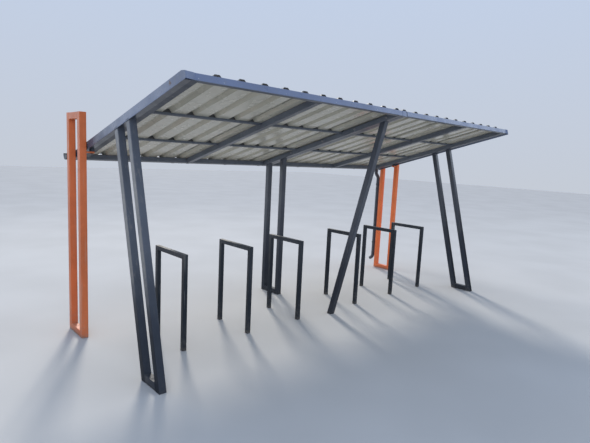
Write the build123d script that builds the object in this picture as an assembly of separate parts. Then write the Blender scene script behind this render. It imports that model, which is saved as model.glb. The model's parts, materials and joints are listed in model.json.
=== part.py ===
# Bike shelter: mono-pitch canopy on steel frames, with six inverted-U bike racks.
# Millimetres. +Z up, +X along the length, +Y to the low (rear) side, front at -Y.
# Origin: centre of the bounding box in plan, at ground level.
import os
from math import sin, cos, tan, radians
from build123d import *

os.makedirs("parts", exist_ok=True)

# ---------------------------------------------------------------- driving sizes
LENGTH = 4800.0            # over the outer faces of the end frames
TUBE = 60.0                # square hollow section of all posts
CORNER = 5.0               # outside corner radius of the 60 mm sections
PITCH = radians(15.65)     # roof slope
LEAN = tan(radians(14.7))  # lean of the end frames (back) and of the middle strut (forward)

# roof reference: top front edge of the front flashing, in the working frame
FRONT_Y = 300.0
FRONT_Z = 2251.0
SLOPE_LEN = 2120.0         # steel roof frame, front face to rear face, along the slope
RAFTER_H = 52.0
BEAM_H = 50.0
BEAM_W = 30.0              # beams are 50 x 30 sections on edge
STEEL_V = -1.5             # top plane of the roof steel, just under the flashing flange
PURLIN = 20.0
PURLIN_U = (739.0, 1451.0)
MID_RAFTER_X = (1225.0, 3675.0)
SEAM = 3.0                 # gap between the two bolted halves

# end frames (x of the outer face is 0 and LENGTH), front faces at ground level
END_REAR_Y = 770.0
END_FRONT_Y = 542.0

# middle frames
MID_X = 2365.0
MID_REAR_Y = 2228.0
MID_INNER_Y = 1958.0
STRUT_Y = 1029.0

# rear corner frames
CORNER_GAP = {"left": 7.0, "right": 6.0}
CORNER_FRONT_Y = {"left": 1912.0, "right": 1968.0}
CORNER_DEPTH = {"left": 334.0, "right": 324.0}   # front face of the front post to rear face of the rear post
CORNER_H = 2055.0

# racks
RACK_X = (516.0, 1234.0, 1918.0, 2893.0, 3630.0, 4295.0)
RACK_FRONT = 1114.0
RACK_REAR = 1640.0
RACK_H = 870.0
RACK_TUBE = 40.0
RACK_CORNER = 3.0

# roof skin
SHEET_T = 1.0
RIB_PITCH = 207.0
RIB_H = 30.0
RIB_TOP = 40.0
RIB_BASE = 84.0
FIRST_RIB = 286.0
FIRST_RIB_RIGHT = 2482.0
FLASH_T = 1.5
FRONT_FLASH = 46.0
VERGE_FLASH = 66.0
VERGE_START = {"left": -40.0, "right": -14.0}   # both stand proud of the front edge
VERGE_TRIM = tan(radians(18.7))                 # their forward ends are trimmed down from the front edge

# gutter and downpipe
GUTTER_R = 50.0
GUTTER_T = 2.0
GUTTER_DROP = 4.0          # rim below the rear end of the roof steel
PIPE_R = 27.0
CLAMP_Z = (400.0, 1370.0)
CLAMP_T = 2.5

# ---------------------------------------------------------------- helpers
S, C = sin(PITCH), cos(PITCH)


def roof(u, v):
    """Point on the roof section: u down the slope from the front edge, v normal to it."""
    return (FRONT_Y + u * C + v * S, FRONT_Z - u * S + v * C)


def section(points, x0, x1, axis=None, r=CORNER):
    """Extrude a closed outline in the Y-Z plane from x0 to x1.
    axis 'x' rounds the edges along X; a (y, z) direction rounds the edges along it."""
    wire = Wire.make_polygon([Vector(x0, y, z) for y, z in points], close=True)
    solid = Solid.extrude(Face(wire), Vector(x1 - x0, 0, 0))
    if axis is None or r <= 0:
        return solid
    want = Vector(1, 0, 0) if axis == "x" else Vector(0, axis[0], axis[1]).normalized()
    edges = [e for e in solid.edges() if abs((e @ 1 - e @ 0).normalized().dot(want)) > 0.9999]
    return solid.fillet(r, edges)


def post_outline(y_ground, width, lean, top_v):
    """Outline of a post: y_ground is its front face at the ground, lean its dy/dz,
    cut off level at the ground and along the roof plane v = top_v."""
    def top(y0):
        # intersection of y = y0 + lean z with the plane v = top_v
        py, pz = roof(0, top_v)
        # points of the plane: (py + t C, pz - t S)
        # y0 + lean (pz - t S) = py + t C
        t = (y0 + lean * pz - py) / (C + lean * S)
        return (py + t * C, pz - t * S)
    w = width * (1 + lean * lean) ** 0.5      # level width of the leaning section
    return [(y_ground, 0), top(y_ground), top(y_ground + w), (y_ground + w, 0)]


def one(shape):
    """The single solid of a boolean result."""
    found = shape.solids()
    assert len(found) == 1
    return found[0]


parts = {}

# ---------------------------------------------------------------- end frames
for side, x0 in (("left", 0.0), ("right", LENGTH - TUBE)):
    posts = []
    for y in (END_FRONT_Y, END_REAR_Y):
        posts.append(section(post_outline(y, TUBE, LEAN, STEEL_V - RAFTER_H), x0, x0 + TUBE, (LEAN, 1)))
    parts[side + "_end_posts"] = posts
    w = TUBE * (1 + LEAN * LEAN) ** 0.5
    a, b = END_FRONT_Y + w, END_REAR_Y
    rail = section([(a, 0), (a + TUBE * LEAN, TUBE), (b + TUBE * LEAN, TUBE), (b, 0)],
                   x0, x0 + TUBE, (1, 0))
    parts[side + "_end_foot_rail"] = [rail]

# ---------------------------------------------------------------- middle frames
mid_posts = [section(post_outline(y, TUBE, 0.0, STEEL_V - RAFTER_H), MID_X, MID_X + TUBE, (0, 1))
             for y in (MID_INNER_Y, MID_REAR_Y)]
parts["middle_rear_posts"] = mid_posts
parts["middle_foot_rail"] = [section(
    [(MID_INNER_Y + TUBE, 0), (MID_INNER_Y + TUBE, TUBE), (MID_REAR_Y, TUBE), (MID_REAR_Y, 0)],
    MID_X, MID_X + TUBE, (1, 0))]
parts["middle_front_strut"] = [section(post_outline(STRUT_Y, TUBE, -LEAN, STEEL_V - RAFTER_H),
                                       MID_X, MID_X + TUBE, (-LEAN, 1))]

# ---------------------------------------------------------------- rear corner frames
for side, x0 in (("left", -CORNER_GAP["left"] - TUBE), ("right", LENGTH + CORNER_GAP["right"])):
    x1 = x0 + TUBE
    ya = CORNER_FRONT_Y[side]
    yb = ya + CORNER_DEPTH[side] - TUBE
    parts[side + "_corner_posts"] = [
        section([(y, 0), (y, CORNER_H), (y + TUBE, CORNER_H), (y + TUBE, 0)], x0, x1, (0, 1))
        for y in (ya, yb)]
    parts[side + "_corner_rails"] = [
        section([(ya + TUBE, z), (ya + TUBE, z + TUBE), (yb, z + TUBE), (yb, z)], x0, x1, (1, 0))
        for z in (0.0, CORNER_H - TUBE)]

# ---------------------------------------------------------------- roof steel
FB0, FB1 = FLASH_T, FLASH_T + BEAM_W          # front beam, along the slope
RB0, RB1 = SLOPE_LEN - BEAM_W, SLOPE_LEN      # rear beam


def slope_box(u0, u1, v0, v1):
    return [roof(u0, v0), roof(u1, v0), roof(u1, v1), roof(u0, v1)]


def rafter(x0, x1, u0, u1):
    return section(slope_box(u0, u1, STEEL_V, STEEL_V - RAFTER_H), x0, x1, (C, -S))


def beam(x0, x1, u0, u1, h, r=CORNER):
    return section(slope_box(u0, u1, STEEL_V, STEEL_V - h), x0, x1, "x", r)


HALF = LENGTH / 2
E1 = TUBE                 # inner face of the end posts
# sloping head of each end frame, on its posts, and the roof panel's own end rafter beside it
parts["left_end_head_rail"] = [rafter(0.0, TUBE, FB0, RB1)]
parts["right_end_head_rail"] = [rafter(LENGTH - TUBE, LENGTH, FB0, RB1)]
parts["left_end_rafter"] = [rafter(E1, E1 + TUBE, FB0, RB1)]
parts["right_end_rafter"] = [rafter(LENGTH - E1 - TUBE, LENGTH - E1, FB0, RB1)]
parts["centre_rafter_left"] = [rafter(HALF - SEAM / 2 - TUBE, HALF - SEAM / 2, FB0, RB1)]
parts["centre_rafter_right"] = [rafter(HALF + SEAM / 2, HALF + SEAM / 2 + TUBE, FB0, RB1)]
for name, x0 in zip(("left_intermediate_rafter", "right_intermediate_rafter"), MID_RAFTER_X):
    parts[name] = [rafter(x0, x0 + TUBE, FB1, RB0)]

spans = [(E1 + TUBE, HALF - SEAM / 2 - TUBE), (HALF + SEAM / 2 + TUBE, LENGTH - E1 - TUBE)]
parts["front_beams"] = [beam(a, b, FB0, FB1, BEAM_H) for a, b in spans]
parts["rear_beams"] = [beam(a, b, RB0, RB1, BEAM_H) for a, b in spans]
bays = [(E1 + TUBE, MID_RAFTER_X[0]), (MID_RAFTER_X[0] + TUBE, HALF - SEAM / 2 - TUBE),
        (HALF + SEAM / 2 + TUBE, MID_RAFTER_X[1]), (MID_RAFTER_X[1] + TUBE, LENGTH - E1 - TUBE)]
for name, u in zip(("front_purlins", "rear_purlins"), PURLIN_U):
    parts[name] = [beam(a, b, u, u + PURLIN, PURLIN, 2.0) for a, b in bays]


# ---------------------------------------------------------------- roof sheets
def sheet(x0, x1, first):
    """Trapezoidal sheet from x0 to x1, ribs along the slope."""
    top = [(x0, SHEET_T)]
    bot = [(x0, 0.0)]
    n = 0
    while first + n * RIB_PITCH + RIB_BASE / 2 < x1:
        c = first + n * RIB_PITCH
        hb, ht = RIB_BASE / 2, RIB_TOP / 2
        bot += [(c - hb, 0.0), (c - ht, RIB_H - SHEET_T), (c + ht, RIB_H - SHEET_T), (c + hb, 0.0)]
        k = 0.55 * SHEET_T
        top += [(c - hb - k, SHEET_T), (c - ht - k, RIB_H), (c + ht + k, RIB_H), (c + hb + k, SHEET_T)]
        n += 1
    bot.append((x1, 0.0))
    top.append((x1, SHEET_T))
    outline = bot + top[::-1]
    pts = []
    for x, v in outline:
        y, z = roof(SHEET_U0, v + STEEL_V)
        pts.append(Vector(x, y, z))
    face = Face(Wire.make_polygon(pts, close=True))
    d = SHEET_U1 - SHEET_U0
    return Solid.extrude(face, Vector(0, d * C, -d * S))


SHEET_U0, SHEET_U1 = 26.0, SLOPE_LEN + 45.0
parts["roof_sheet_left"] = [sheet(2.0, HALF - 1.0, FIRST_RIB)]
parts["roof_sheet_right"] = [sheet(HALF + 1.0, LENGTH - 2.0, FIRST_RIB_RIGHT)]


# ---------------------------------------------------------------- flashings
def l_profile(x0, x1):
    """Front flashing: face over the front beam, flange on top of it."""
    t = FLASH_T
    pts = [roof(0, 0), roof(12, 0), roof(12, -t), roof(t, -t), roof(t, -FRONT_FLASH), roof(0, -FRONT_FLASH)]
    return section(pts, x0, x1)


FLASH_JOINT = HALF + TUBE + 2.0
parts["front_flashing"] = [l_profile(0.0, FLASH_JOINT - SEAM / 2), l_profile(FLASH_JOINT + SEAM / 2, LENGTH)]


def verge(x_out, s, u0):
    """Verge flashing in the X-V section, run along the slope. s = +1 on the left side."""
    t = FLASH_T
    base = 0.0
    prof = [(0, base + t), (0, -VERGE_FLASH + 8), (-4, -VERGE_FLASH), (-4 + 1.2, -VERGE_FLASH - 1.0),
            (t, -VERGE_FLASH + 8.5), (t, base), (58, base), (58, base + t)]
    pts = []
    for dx, v in prof:
        y, z = roof(u0, v)
        pts.append(Vector(x_out + s * dx, y, z))
    face = Face(Wire.make_polygon(pts, close=True))
    d = SLOPE_LEN - u0
    strip = Solid.extrude(face, Vector(0, d * C, -d * S))
    off = section([roof(1, t + 0.1), roof(1, 10), roof(-60, 10), roof(-60, t + 0.1 - 61 * VERGE_TRIM)],
                  x_out - 70, x_out + 70)
    return one(strip.cut(off))


parts["left_verge_flashing"] = [verge(-FLASH_T, 1, VERGE_START["left"])]
parts["right_verge_flashing"] = [verge(LENGTH + FLASH_T, -1, VERGE_START["right"])]

# ---------------------------------------------------------------- gutter and downpipe
gy, gz = roof(SLOPE_LEN, STEEL_V)
gy, gz = gy + 2.0 + GUTTER_R, gz - GUTTER_DROP      # gutter centre line, level along X
G_X0, G_X1 = -37.0, LENGTH + CORNER_GAP["right"] + TUBE
G_GAP = 2.0                                  # open joint between two lengths of gutter
G_COUNT = 4


def half_round(x0, x1, r, t):
    """Half-round channel along X; t equal to r gives a full half disc."""
    edges = [Edge.make_three_point_arc(Vector(x0, gy - r, gz), Vector(x0, gy, gz - r), Vector(x0, gy + r, gz))]
    if t < r:
        q = r - t
        edges += [Edge.make_line(Vector(x0, gy + r, gz), Vector(x0, gy + q, gz)),
                  Edge.make_three_point_arc(Vector(x0, gy + q, gz), Vector(x0, gy, gz - q), Vector(x0, gy - q, gz)),
                  Edge.make_line(Vector(x0, gy - q, gz), Vector(x0, gy - r, gz))]
    else:
        edges.append(Edge.make_line(Vector(x0, gy + r, gz), Vector(x0, gy - r, gz)))
    return Solid.extrude(Face(Wire(edges)), Vector(x1 - x0, 0, 0))


def pipe(path, start, direction, r):
    return Solid.sweep(Face(Wire.make_circle(r, Plane(origin=start, z_dir=direction))), path)


PIPE_X = LENGTH + CORNER_GAP["right"] + TUBE / 2
POST_REAR = CORNER_FRONT_Y["right"] + CORNER_DEPTH["right"]
PIPE_Y = POST_REAR + 25.0 + PIPE_R
g_len = (G_X1 - G_X0 - (G_COUNT - 1) * G_GAP) / G_COUNT
lengths = []
for i in range(G_COUNT):
    ga = G_X0 + i * (g_len + G_GAP)
    lengths.append(half_round(ga, ga + g_len, GUTTER_R, GUTTER_T))
lengths[0] = lengths[0].fuse(half_round(G_X0, G_X0 + GUTTER_T, GUTTER_R, GUTTER_R))
lengths[-1] = lengths[-1].fuse(half_round(G_X1 - GUTTER_T, G_X1, GUTTER_R, GUTTER_R))
lengths[-1] = lengths[-1].cut(
    Solid.make_cylinder(PIPE_R - 2 * GUTTER_T, 80, Plane(Vector(PIPE_X, gy, gz - GUTTER_R - 40))))
parts["gutter"] = [one(g) for g in lengths]
print("gutter lengths", [round(G_X0 + i * (g_len + G_GAP), 1) for i in range(G_COUNT + 1)])

# downpipe: off the gutter's end, a slight offset in to the corner post, straight down,
# and a short shoe turned out to the rear at the foot
SHOE_Z = 205.0
NECK_Z = gz - GUTTER_R - 45.0
BEND_R = 75.0
SHOE_ANG = radians(60)
off = gy - PIPE_Y
na = radians(40)
nr = 60.0
top = Vector(PIPE_X, gy, gz - 20.0)
# neck: down, bend in by na, bend back by na
dy1 = nr * (1 - cos(na))
dz1 = nr * sin(na)
straight = max((off - 2 * dy1) / sin(na), 1.0)


def at(y, z):
    return Vector(PIPE_X, y, z)


a0 = at(gy, NECK_Z)
am = at(gy - nr * (1 - cos(na / 2)), NECK_Z - nr * sin(na / 2))
a1 = at(gy - dy1, NECK_Z - dz1)
b1 = at(a1.Y - straight * sin(na), a1.Z - straight * cos(na))
bm = at(b1.Y - (dy1 - nr * (1 - cos(na / 2))), b1.Z - (dz1 - nr * sin(na / 2)))
b2 = at(b1.Y - dy1, b1.Z - dz1)
foot = at(b2.Y, SHOE_Z)
cm = at(foot.Y + BEND_R * (1 - cos(SHOE_ANG / 2)), SHOE_Z - BEND_R * sin(SHOE_ANG / 2))
c1 = at(foot.Y + BEND_R * (1 - cos(SHOE_ANG)), SHOE_Z - BEND_R * sin(SHOE_ANG))
c2 = at(c1.Y + 22 * sin(SHOE_ANG), c1.Z - 22 * cos(SHOE_ANG))
path = Wire([Edge.make_line(top, a0), Edge.make_three_point_arc(a0, am, a1), Edge.make_line(a1, b1),
             Edge.make_three_point_arc(b1, bm, b2), Edge.make_line(b2, foot),
             Edge.make_three_point_arc(foot, cm, c1), Edge.make_line(c1, c2)])
down = Vector(0, 0, -1)
tube_pipe = pipe(path, top, down, PIPE_R).cut(pipe(path, top, down, PIPE_R - 2.0))
saddle = Solid.make_cylinder(GUTTER_R + 0.1, 400, Plane(Vector(PIPE_X - 200, gy, gz), z_dir=Vector(1, 0, 0)))
parts["downpipe"] = [one(tube_pipe.cut(saddle))]
print("pipe foot", round(foot.Y, 2), "lowest", round(c2.Z - PIPE_R * sin(SHOE_ANG), 1))

# two-part clamps that hold the downpipe to the corner post
clamps = []
for z in CLAMP_Z:
    ring = Solid.make_cylinder(PIPE_R + 0.4 + CLAMP_T, 26, Plane(Vector(PIPE_X, PIPE_Y, z)))
    base = Solid.make_box(44, CLAMP_T, 26, Plane(Vector(PIPE_X - 22, POST_REAR + 0.3, z)))
    stem = Solid.make_box(12, 26, 20, Plane(Vector(PIPE_X - 6, POST_REAR + 0.3, z + 3)))
    hole = Solid.make_cylinder(PIPE_R + 0.4, 30, Plane(Vector(PIPE_X, PIPE_Y, z - 2)))
    clamps.append(one(ring.fuse(base).fuse(stem).cut(hole)))
parts["downpipe_clamps"] = clamps

# ---------------------------------------------------------------- roof brackets on the corner frames
BRACKET_END = 64.0         # inner end, from the outer face of the end frame
BRACKET_H = 14.0
for side, xa, xb in (("left", -CORNER_GAP["left"], BRACKET_END),
                     ("right", LENGTH - BRACKET_END, LENGTH + CORNER_GAP["right"])):
    yb0, yb1 = CORNER_FRONT_Y[side] + 8.0, CORNER_FRONT_Y[side] + 52.0
    under = [roof((y - FRONT_Y) / C, 0)[1] + (STEEL_V - RAFTER_H) / C - 0.5 for y in (yb0, yb1)]
    zt = under[1] - 15                     # level bar, clear of the verge's lip
    bar = section([(yb0, zt - BRACKET_H), (yb0, zt), (yb1, zt), (yb1, zt - BRACKET_H)], xa, xb)
    xs = (xb - 30, xb) if side == "left" else (xa, xa + 30)
    seat = section([(yb0, zt - 2), (yb0, under[0]), (yb1, under[1]), (yb1, zt - 2)], *xs)
    parts[side + "_roof_bracket"] = [one(bar.fuse(seat))]

# ---------------------------------------------------------------- bike racks
for i, x in enumerate(RACK_X, 1):
    t = RACK_TUBE
    o = [(RACK_FRONT, 0), (RACK_FRONT, RACK_H), (RACK_REAR, RACK_H), (RACK_REAR, 0),
         (RACK_REAR - t, 0), (RACK_REAR - t, RACK_H - t), (RACK_FRONT + t, RACK_H - t), (RACK_FRONT + t, 0)]
    loop = section(o, x, x + t)
    long_edges = [e for e in loop.edges() if abs((e @ 1 - e @ 0).normalized().X) < 0.01]
    parts["bike_rack_%d" % i] = [loop.fillet(RACK_CORNER, long_edges)]

# ---------------------------------------------------------------- place and export
lo = [1e9] * 3
hi = [-1e9] * 3
for solids in parts.values():
    for s in solids:
        b = s.bounding_box()
        for k, (p, q) in enumerate(((b.min.X, b.max.X), (b.min.Y, b.max.Y), (b.min.Z, b.max.Z))):
            lo[k] = min(lo[k], p)
            hi[k] = max(hi[k], q)
shift = Vector(-(lo[0] + hi[0]) / 2, -(lo[1] + hi[1]) / 2, 0)
print("working-frame bounds", [round(v, 2) for v in lo], [round(v, 2) for v in hi])
print("shift", round(shift.X, 3), round(shift.Y, 3))
total = 0.0
for name, solids in parts.items():
    moved = [s.moved(Location(shift)) for s in solids]
    shape = moved[0] if len(moved) == 1 else Compound(children=moved)
    total += sum(m.volume for m in moved)
    export_step(shape, "parts/%s.step" % name)
print(len(parts), "nodes, volume m3", round(total / 1e9, 5))
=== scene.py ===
import json
import math
import random

import bmesh
import bpy
from mathutils import Matrix, Vector


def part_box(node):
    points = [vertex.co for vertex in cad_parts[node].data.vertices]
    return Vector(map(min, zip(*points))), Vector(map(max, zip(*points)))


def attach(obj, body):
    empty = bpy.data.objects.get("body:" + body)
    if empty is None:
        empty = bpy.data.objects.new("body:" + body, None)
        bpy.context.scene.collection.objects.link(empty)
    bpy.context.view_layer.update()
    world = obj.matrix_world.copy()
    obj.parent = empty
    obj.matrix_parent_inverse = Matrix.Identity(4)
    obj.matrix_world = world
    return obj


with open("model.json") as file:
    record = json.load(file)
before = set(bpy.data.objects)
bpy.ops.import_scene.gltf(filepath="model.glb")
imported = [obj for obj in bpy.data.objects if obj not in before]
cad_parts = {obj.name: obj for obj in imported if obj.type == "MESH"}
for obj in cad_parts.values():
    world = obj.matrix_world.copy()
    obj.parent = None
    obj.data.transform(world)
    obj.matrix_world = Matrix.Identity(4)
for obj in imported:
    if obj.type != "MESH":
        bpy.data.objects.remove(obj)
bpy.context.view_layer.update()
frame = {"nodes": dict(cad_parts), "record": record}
NODES = frame["nodes"]
scene = bpy.context.scene
rng = random.Random(7)

# ------------------------------------------------------------------ sizes (millimetres, drawing frame)
LENGTH = 4800.0
TUBE = 60.0
RACK_FRONT = 1114.0
SHIFT = (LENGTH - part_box("right_end_posts")[1][0] * 1000.0, RACK_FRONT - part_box("bike_rack_1")[0][1] * 1000.0)
PITCH = math.radians(15.65)
SP, CP = math.sin(PITCH), math.cos(PITCH)
LEAN = math.tan(math.radians(14.7))
FRONT_Y, FRONT_Z = 300.0, 2251.0
SLOPE_LEN = 2120.0
STEEL_V, RAFTER_H, BEAM_H, BEAM_W, PURLIN = -1.5, 52.0, 50.0, 30.0, 20.0
HALF, SEAM = LENGTH / 2, 3.0
MID_X, MID_INNER_Y, MID_REAR_Y, STRUT_Y = 2365.0, 1958.0, 2228.0, 1029.0
MID_RAFTER_X = (1225.0, 3675.0)
PURLIN_U = (739.0, 1451.0)
CORNER_H = 2055.0
CORNERS = {"left": (-67.0, 1912.0, 334.0), "right": (4806.0, 1968.0, 324.0)}
RIBS = [286.0 + 207.0 * k for k in range(11) if 286.0 + 207.0 * k + 42 < HALF - 1] + \
       [2482.0 + 207.0 * k for k in range(12) if 2482.0 + 207.0 * k + 42 < LENGTH - 2]
SHEET_U0, SHEET_U1 = 26.0, SLOPE_LEN + 45.0
GUTTER_Y = FRONT_Y + SLOPE_LEN * CP + STEEL_V * SP + 52.0
GUTTER_Z = FRONT_Z - SLOPE_LEN * SP + STEEL_V * CP - 4.0
G_X0, G_X1 = -37.0, 4866.0
PIPE_X, PIPE_Y = 4836.0, 2344.0
RACK_X = (516.0, 1234.0, 1918.0, 2893.0, 3630.0, 4295.0)
RACK_REAR, RACK_H, RACK_TUBE = 1640.0, 870.0, 40.0


def W(x, y, z):
    """Drawing millimetres to row-frame metres."""
    return Vector(((x - SHIFT[0]) / 1000.0, (y - SHIFT[1]) / 1000.0, z / 1000.0))


def R(x, u, v):
    """Point on the roof: x along, u down the slope from the front edge, v above the roof plane."""
    return W(x, FRONT_Y + u * CP + v * SP, FRONT_Z - u * SP + v * CP)


# ------------------------------------------------------------------ node materials
class Graph:
    def __init__(self, name):
        self.mat = bpy.data.materials.new(name)
        self.mat.use_nodes = True
        self.nt = self.mat.node_tree
        self.nt.nodes.clear()
        self.out = self.nt.nodes.new("ShaderNodeOutputMaterial")
        self.bsdf = self.nt.nodes.new("ShaderNodeBsdfPrincipled")
        self.nt.links.new(self.bsdf.outputs[0], self.out.inputs[0])
        self.coord = self.nt.nodes.new("ShaderNodeTexCoord").outputs["Object"]
        self.geo = self.nt.nodes.new("ShaderNodeNewGeometry")

    def put(self, value, socket):
        if isinstance(value, bpy.types.NodeSocket):
            self.nt.links.new(value, socket)
        elif isinstance(value, (tuple, list)):
            socket.default_value = tuple(value) + ((1.0,) if len(value) == 3 and len(socket.default_value) == 4 else ())
        else:
            socket.default_value = value

    def scaled(self, sx, sy, sz, turn=(0, 0, 0)):
        n = self.nt.nodes.new("ShaderNodeMapping")
        self.put(self.coord, n.inputs["Vector"])
        n.inputs["Scale"].default_value = (sx, sy, sz)
        n.inputs["Rotation"].default_value = turn
        return n.outputs[0]

    def noise(self, scale, detail=3.0, rough=0.55, vector=None, distortion=0.0):
        n = self.nt.nodes.new("ShaderNodeTexNoise")
        self.put(vector if vector is not None else self.coord, n.inputs["Vector"])
        n.inputs["Scale"].default_value = scale
        n.inputs["Detail"].default_value = detail
        n.inputs["Roughness"].default_value = rough
        n.inputs["Distortion"].default_value = distortion
        return n.outputs[0]

    def voronoi(self, scale, vector=None, feature="F1"):
        n = self.nt.nodes.new("ShaderNodeTexVoronoi")
        n.feature = feature
        self.put(vector if vector is not None else self.coord, n.inputs["Vector"])
        n.inputs["Scale"].default_value = scale
        return n.outputs["Distance"]

    def ramp(self, value, a, b, lo=0.0, hi=1.0, smooth=True):
        n = self.nt.nodes.new("ShaderNodeMapRange")
        if smooth:
            n.interpolation_type = "SMOOTHSTEP"
        self.put(value, n.inputs[0])
        for k, v in enumerate((a, b, lo, hi), 1):
            n.inputs[k].default_value = v
        return n.outputs[0]

    def math(self, op, a, b=0.0, clamp=False):
        n = self.nt.nodes.new("ShaderNodeMath")
        n.operation = op
        n.use_clamp = clamp
        self.put(a, n.inputs[0])
        self.put(b, n.inputs[1])
        return n.outputs[0]

    def mix(self, fac, a, b):
        n = self.nt.nodes.new("ShaderNodeMix")
        n.data_type = "RGBA"
        self.put(fac, n.inputs[0])
        self.put(a, n.inputs[6])
        self.put(b, n.inputs[7])
        return n.outputs[2]

    def axis(self, vector, k):
        n = self.nt.nodes.new("ShaderNodeSeparateXYZ")
        self.put(vector, n.inputs[0])
        return n.outputs[k]

    def bump(self, height, strength, distance, normal=None):
        n = self.nt.nodes.new("ShaderNodeBump")
        self.put(height, n.inputs["Height"])
        n.inputs["Strength"].default_value = strength
        n.inputs["Distance"].default_value = distance
        if normal is not None:
            self.put(normal, n.inputs["Normal"])
        return n.outputs[0]

    def set(self, **values):
        names = {"color": "Base Color", "rough": "Roughness", "metal": "Metallic", "normal": "Normal",
                 "coat": "Coat Weight", "coat_rough": "Coat Roughness", "spec": "Specular IOR Level"}
        for k, v in values.items():
            self.put(v, self.bsdf.inputs[names[k]])
        return self.mat


def mul(c, k):
    return tuple(min(1.0, x * k) for x in c)


def powder_coat(name, base, rough=0.42, dust=(0.30, 0.28, 0.25), dust_amount=0.5, low_dirt=0.5, scratch=0.25,
                bare=(0.33, 0.33, 0.33), spec=0.5, side_light=None, low_shade=None, low_end=None, above=None, outer=None, front=None):
    """Satin powder coat: fine orange peel, hand marks, dust on upward faces, splashes near the ground, fine scratches."""
    g = Graph(name)
    pos = g.coord
    z = g.axis(pos, 2)
    nz = g.axis(g.geo.outputs["Normal"], 2)
    broad = g.noise(1.7, 4, 0.6)
    fine = g.noise(23.0, 4, 0.6)
    col = g.mix(g.ramp(broad, 0.35, 0.7), mul(base, 0.90), mul(base, 1.10))
    col = g.mix(g.ramp(fine, 0.45, 0.8, 0.0, 0.35), col, mul(base, 1.28))
    # rain streaks, drawn out vertically
    streak = g.noise(1.0, 3, 0.6, g.scaled(38, 38, 1.6))
    streak = g.ramp(streak, 0.56, 0.74, 0.0, 0.30)
    col = g.mix(streak, col, mul(dust, 0.85))
    # dust lying on faces that look up
    up = g.ramp(nz, 0.25, 0.85)
    lie = g.math("MULTIPLY", up, g.ramp(g.noise(9.0, 5, 0.65), 0.30, 0.68, 0.25, 1.0))
    lie = g.math("MULTIPLY", lie, dust_amount)
    col = g.mix(lie, col, dust)
    if side_light:
        # painted light: a pale colour on the standing faces, lighter as if lit from the sides
        side = g.ramp(g.math("ABSOLUTE", nz), 0.45, 0.8, 1.0, 0.0)
        side = g.math("MULTIPLY", side, g.ramp(g.noise(5.0, 5, 0.62), 0.3, 0.7, 0.65 * side_light[1], side_light[1]))
        col = g.mix(side, col, side_light[0])
    # splashes and grit at the foot
    near = g.ramp(z, 0.0, 0.30, 1.0, 0.0)
    spot = g.ramp(g.noise(55.0, 5, 0.7), 0.42, 0.66)
    splash = g.math("MULTIPLY", near, g.math("MULTIPLY", spot, low_dirt))
    col = g.mix(splash, col, (0.24, 0.215, 0.185))
    foot = g.math("MULTIPLY", g.ramp(z, 0.0, 0.045, 1.0, 0.0), g.ramp(g.noise(30.0, 4, 0.6), 0.3, 0.6, 0.3, low_dirt + 0.3))
    col = g.mix(foot, col, (0.17, 0.15, 0.13))
    # thin scratches
    line = g.noise(1.0, 2, 0.5, g.scaled(160, 160, 5, (0.5, 0.3, 0.2)), 0.6)
    line = g.math("MULTIPLY", g.ramp(line, 0.695, 0.72), scratch)
    col = g.mix(line, col, bare)
    if low_shade:
        # painted shade: the coat darker, and less shiny, lower down
        wear_and_shade = g.ramp(g.math("ADD", z, g.ramp(g.noise(2.2, 3, 0.5), 0.3, 0.7, -0.12, 0.12)), low_shade[0], low_shade[1], 1.0, 0.0)
        col = g.mix(g.math("MULTIPLY", wear_and_shade, low_shade[2]), col, mul(base, 0.45))
        spec = g.math("SUBTRACT", spec, g.math("MULTIPLY", wear_and_shade, spec * 0.75), True)
    if low_end:
        # darker toward the low rear end
        col = g.mix(toward_rear(g, low_end), col, mul(base, 0.5))
    if outer:
        # painted reflection on the outer face: a pale band at half height, darker and less shiny below it
        nx = g.axis(g.geo.outputs["Normal"], 0)
        out = g.ramp(nx, -0.9, -0.6, 1.0, 0.0)
        h = g.math("ADD", z, g.ramp(g.noise(6.0, 5, 0.65), 0.3, 0.7, -0.10, 0.10))
        band = g.math("MULTIPLY", g.ramp(h, 0.62, 0.92), g.ramp(h, 1.35, 1.90, 1.0, 0.12))
        band = g.math("MULTIPLY", band, g.ramp(g.noise(26.0, 5, 0.65), 0.30, 0.60, 0.55, 1.0))
        dark = g.math("MULTIPLY", out, g.ramp(h, 0.35, 0.80, 0.80, 0.0))
        col = g.mix(dark, col, mul(base, 0.25))
        spec = g.math("MULTIPLY", spec, g.math("SUBTRACT", 1.0, g.math("MULTIPLY", dark, 0.75)))
        col = g.mix(g.math("MULTIPLY", g.math("MULTIPLY", out, band), outer[1]), col, outer[0])
    if front:
        # painted shade: the lower part of the front face darker and less shiny
        ny = g.axis(g.geo.outputs["Normal"], 1)
        h = g.math("ADD", z, g.ramp(g.noise(4.0, 5, 0.6), 0.3, 0.7, -0.10, 0.10))
        stain_and_shade = g.math("MULTIPLY", g.ramp(ny, -0.92, -0.70, 1.0, 0.0), g.ramp(h, front[0], front[1], front[2], 0.0))
        col = g.mix(stain_and_shade, col, mul(base, 0.30))
        spec = g.math("MULTIPLY", spec, g.math("SUBTRACT", 1.0, g.math("MULTIPLY", stain_and_shade, 0.85)))
    if above:
        # another paint above a height
        col = g.mix(g.ramp(z, above[0] - 0.0005, above[0] + 0.0005), col, above[1])
    r = g.math("ADD", g.ramp(g.noise(6.0, 4, 0.6), 0.3, 0.7, rough - 0.06, rough + 0.07), g.math("MULTIPLY", lie, 0.35), True)
    r = g.math("ADD", r, g.math("MULTIPLY", splash, 0.3), True)
    peel = g.noise(620.0, 2, 0.5)
    wave = g.noise(14.0, 2, 0.5)
    n1 = g.bump(peel, 0.16, 0.0004)
    n2 = g.bump(wave, 0.10, 0.002, n1)
    return g.set(color=col, rough=r, normal=n2, spec=spec)


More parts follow.
